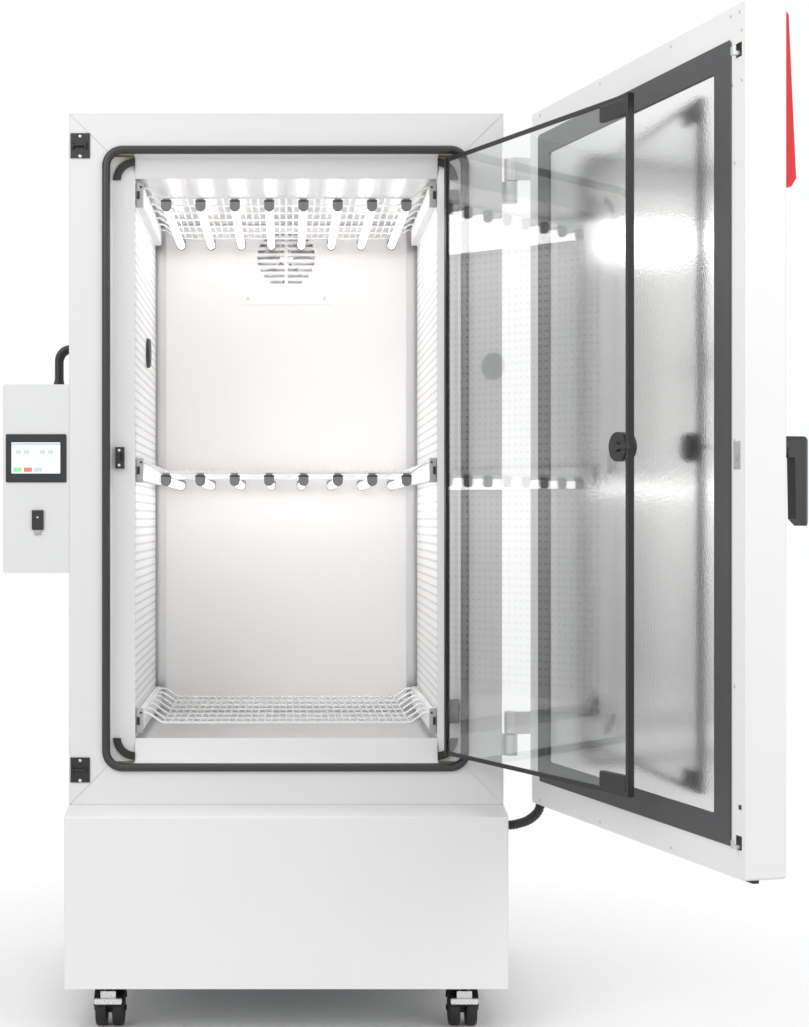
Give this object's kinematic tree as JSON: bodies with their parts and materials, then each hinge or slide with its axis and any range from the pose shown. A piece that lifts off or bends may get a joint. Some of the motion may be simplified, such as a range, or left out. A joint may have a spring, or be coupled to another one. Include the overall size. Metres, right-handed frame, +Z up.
{
  "type": "environmental test chamber",
  "caption": "Tall insulated climate cabinet on casters with lamp shelves, a glass inner door, a foam filled outer door and a side controller.",
  "frame": {"origin": "on the floor, below the middle of the cabinet's width and of its depth with the outer door closed", "axes": "+Z up, +X to the viewer's right as one faces the open front, -Y towards the viewer, out of the front"},
  "size_m": [1.4846, 1.7159, 1.945],
  "materials": {
    "white_paint": "powder coat",
    "zinc_steel": "zinc plated",
    "stainless": "brushed",
    "textured_stainless": "stucco texture",
    "white_wall": "perforated, white",
    "foam": "rigid foam",
    "light_plastic": "satin",
    "dark_frame": "satin",
    "gasket_rubber": "soft",
    "black_plastic": "satin",
    "black_metal": "satin",
    "shelf_steel": "zinc or chrome plated",
    "lamp_glass": "frosted",
    "lamp_cap": "satin",
    "pane_glass": "clear",
    "silicone": "soft",
    "port_steel": "polished",
    "red_paint": "satin",
    "case_plastic": "satin",
    "bezel_plastic": "satin",
    "screen": "lit display",
    "wheel_rubber": "hard rubber",
    "pedal_steel": "plated",
    "hose": "corrugated look"
  },
  "bodies": {
    "cabinet": {"base_frame": "zinc_steel", "outer_panels": "white_paint", "rear_panel": "zinc_steel", "front_fascia": "white_paint", "plinth_cover": "white_paint", "insulation": "foam", "inner_liner": "stainless", "frame_strips": "light_plastic", "door_gasket": "gasket_rubber", "rear_air_panel": "white_wall", "fan_guard": "stainless", "circulation_motor": "zinc_steel", "evaporator": "stainless", "side_air_panels": "white_wall", "port_tube": "port_steel", "hinge_brackets": "white_paint", "frame_fittings": "black_metal", "controller_box": "case_plastic", "display_bezel": "bezel_plastic", "display_screen": "screen", "controller_cables": "hose", "compressor": "black_metal", "condenser": "stainless", "electronics_box": "zinc_steel", "service_connections": "black_plastic", "door_conduit": "hose"},
    "outer_door": {"door_shell": "white_paint", "door_core": "foam", "door_inner_panel": "textured_stainless", "door_inner_frame": "dark_frame", "door_hinge_leaves": "white_paint", "handle_base": "black_plastic", "trim_strip": "red_paint"},
    "handle": {"handle_lever": "black_plastic"},
    "latch": {"latch_hooks": "zinc_steel"},
    "glass_door": {"glass_pane": "pane_glass", "glass_door_profiles": "black_plastic", "glass_door_fittings": "black_plastic"},
    "glass_latch": {"glass_door_knob": "black_plastic"},
    "upper_shelf": {"upper_rack": "shelf_steel", "upper_tubes": "lamp_glass", "upper_caps": "lamp_cap"},
    "middle_shelf": {"middle_rack": "shelf_steel", "middle_tubes": "lamp_glass", "middle_caps": "lamp_cap"},
    "lower_shelf": {"lower_rack": "shelf_steel"},
    "plug": {"port_plug": "silicone"},
    "circulation_wheel": {"circulation_fan": "stainless"},
    "cooling_fan": {"condenser_fan": "black_plastic"},
    "socket_flap": {"socket_cover": "bezel_plastic"},
    "fork_front_left": {"caster_fork_front_left": "black_metal"},
    "wheels_front_left": {"caster_wheels_front_left": "wheel_rubber"},
    "fork_front_right": {"caster_fork_front_right": "black_metal"},
    "wheels_front_right": {"caster_wheels_front_right": "wheel_rubber"},
    "fork_rear_left": {"caster_fork_rear_left": "black_metal"},
    "wheels_rear_left": {"caster_wheels_rear_left": "wheel_rubber"},
    "fork_rear_right": {"caster_fork_rear_right": "black_metal"},
    "wheels_rear_right": {"caster_wheels_rear_right": "wheel_rubber"},
    "pedal_front_left": {"brake_pedal_front_left": "pedal_steel"},
    "pedal_front_right": {"brake_pedal_front_right": "pedal_steel"}
  },
  "joints": [
    {"name": "outer_door_hinge", "type": "hinge", "parent": "cabinet", "child": "outer_door", "pos_m": [0.484, -0.336, 1.21], "axis": [0, 0, 1], "range_deg": [-105, 10], "deforming": ["door_conduit"]},
    {"name": "glass_door_hinge", "type": "hinge", "parent": "cabinet", "child": "glass_door", "pos_m": [0.347, -0.344, 1.215], "axis": [0, 0, 1], "range_deg": [-114.1, 11]},
    {"name": "handle_turn", "type": "hinge", "parent": "outer_door", "child": "handle", "pos_m": [0.8335, -1.2, 1.203], "axis": [0.9659, 0.2588, 0], "range_deg": [0, 90]},
    {"name": "latch_slide", "type": "slide", "parent": "outer_door", "child": "latch", "axis": [0, 0, 1], "range_m": [0, 0.009]},
    {"name": "knob_turn", "type": "hinge", "parent": "glass_door", "child": "glass_latch", "pos_m": [0.6065, -0.9465, 1.213], "axis": [0.9135, 0.4067, 0], "range_deg": [0, 30]},
    {"name": "port_plug_slide", "type": "slide", "parent": "cabinet", "child": "plug", "axis": [1, 0, 0], "range_m": [0, 0.06]},
    {"name": "circulation_fan_spin", "type": "hinge", "parent": "cabinet", "child": "circulation_wheel", "pos_m": [0, 0.36, 1.732], "axis": [0, 1, 0], "continuous": true},
    {"name": "condenser_fan_spin", "type": "hinge", "parent": "cabinet", "child": "cooling_fan", "pos_m": [0.17, 0.36, 0.268], "axis": [0, 1, 0], "continuous": true},
    {"name": "socket_cover_hinge", "type": "hinge", "parent": "cabinet", "child": "socket_flap", "pos_m": [-0.529, -0.3593, 1.098], "axis": [-1, 0, 0], "range_deg": [0, 110]},
    {"name": "upper_shelf_slide", "type": "slide", "parent": "cabinet", "child": "upper_shelf", "axis": [0, -1, 0], "range_m": [0, 0.35]},
    {"name": "middle_shelf_slide", "type": "slide", "parent": "cabinet", "child": "middle_shelf", "axis": [0, -1, 0], "range_m": [0, 0.35]},
    {"name": "lower_shelf_slide", "type": "slide", "parent": "cabinet", "child": "lower_shelf", "axis": [0, -1, 0], "range_m": [0, 0.35]},
    {"name": "front_left_caster_swivel", "type": "hinge", "parent": "cabinet", "child": "fork_front_left", "pos_m": [-0.376, -0.358, 0.1], "axis": [0, 0, 1], "continuous": true},
    {"name": "front_left_wheel_spin", "type": "hinge", "parent": "fork_front_left", "child": "wheels_front_left", "pos_m": [-0.376, -0.336, 0.0375], "axis": [1, 0, 0], "continuous": true},
    {"name": "front_right_caster_swivel", "type": "hinge", "parent": "cabinet", "child": "fork_front_right", "pos_m": [0.376, -0.358, 0.1], "axis": [0, 0, 1], "continuous": true},
    {"name": "front_right_wheel_spin", "type": "hinge", "parent": "fork_front_right", "child": "wheels_front_right", "pos_m": [0.376, -0.336, 0.0375], "axis": [1, 0, 0], "continuous": true},
    {"name": "rear_left_caster_swivel", "type": "hinge", "parent": "cabinet", "child": "fork_rear_left", "pos_m": [-0.376, 0.338, 0.1], "axis": [0, 0, 1], "continuous": true},
    {"name": "rear_left_wheel_spin", "type": "hinge", "parent": "fork_rear_left", "child": "wheels_rear_left", "pos_m": [-0.376, 0.36, 0.0375], "axis": [1, 0, 0], "continuous": true},
    {"name": "rear_right_caster_swivel", "type": "hinge", "parent": "cabinet", "child": "fork_rear_right", "pos_m": [0.376, 0.338, 0.1], "axis": [0, 0, 1], "continuous": true},
    {"name": "rear_right_wheel_spin", "type": "hinge", "parent": "fork_rear_right", "child": "wheels_rear_right", "pos_m": [0.376, 0.36, 0.0375], "axis": [1, 0, 0], "continuous": true},
    {"name": "front_left_brake_pedal", "type": "hinge", "parent": "fork_front_left", "child": "pedal_front_left", "pos_m": [-0.376, -0.378, 0.08], "axis": [1, 0, 0], "range_deg": [0, 15]},
    {"name": "front_right_brake_pedal", "type": "hinge", "parent": "fork_front_right", "child": "pedal_front_right", "pos_m": [0.376, -0.378, 0.08], "axis": [1, 0, 0], "range_deg": [0, 15]}
  ],
  "couplings": [
    {"joint": "glass_door_hinge", "follows": "outer_door_hinge", "ratio": 1.0857},
    {"joint": "latch_slide", "follows": "handle_turn", "m_per_rad": 0.005729}
  ]
}
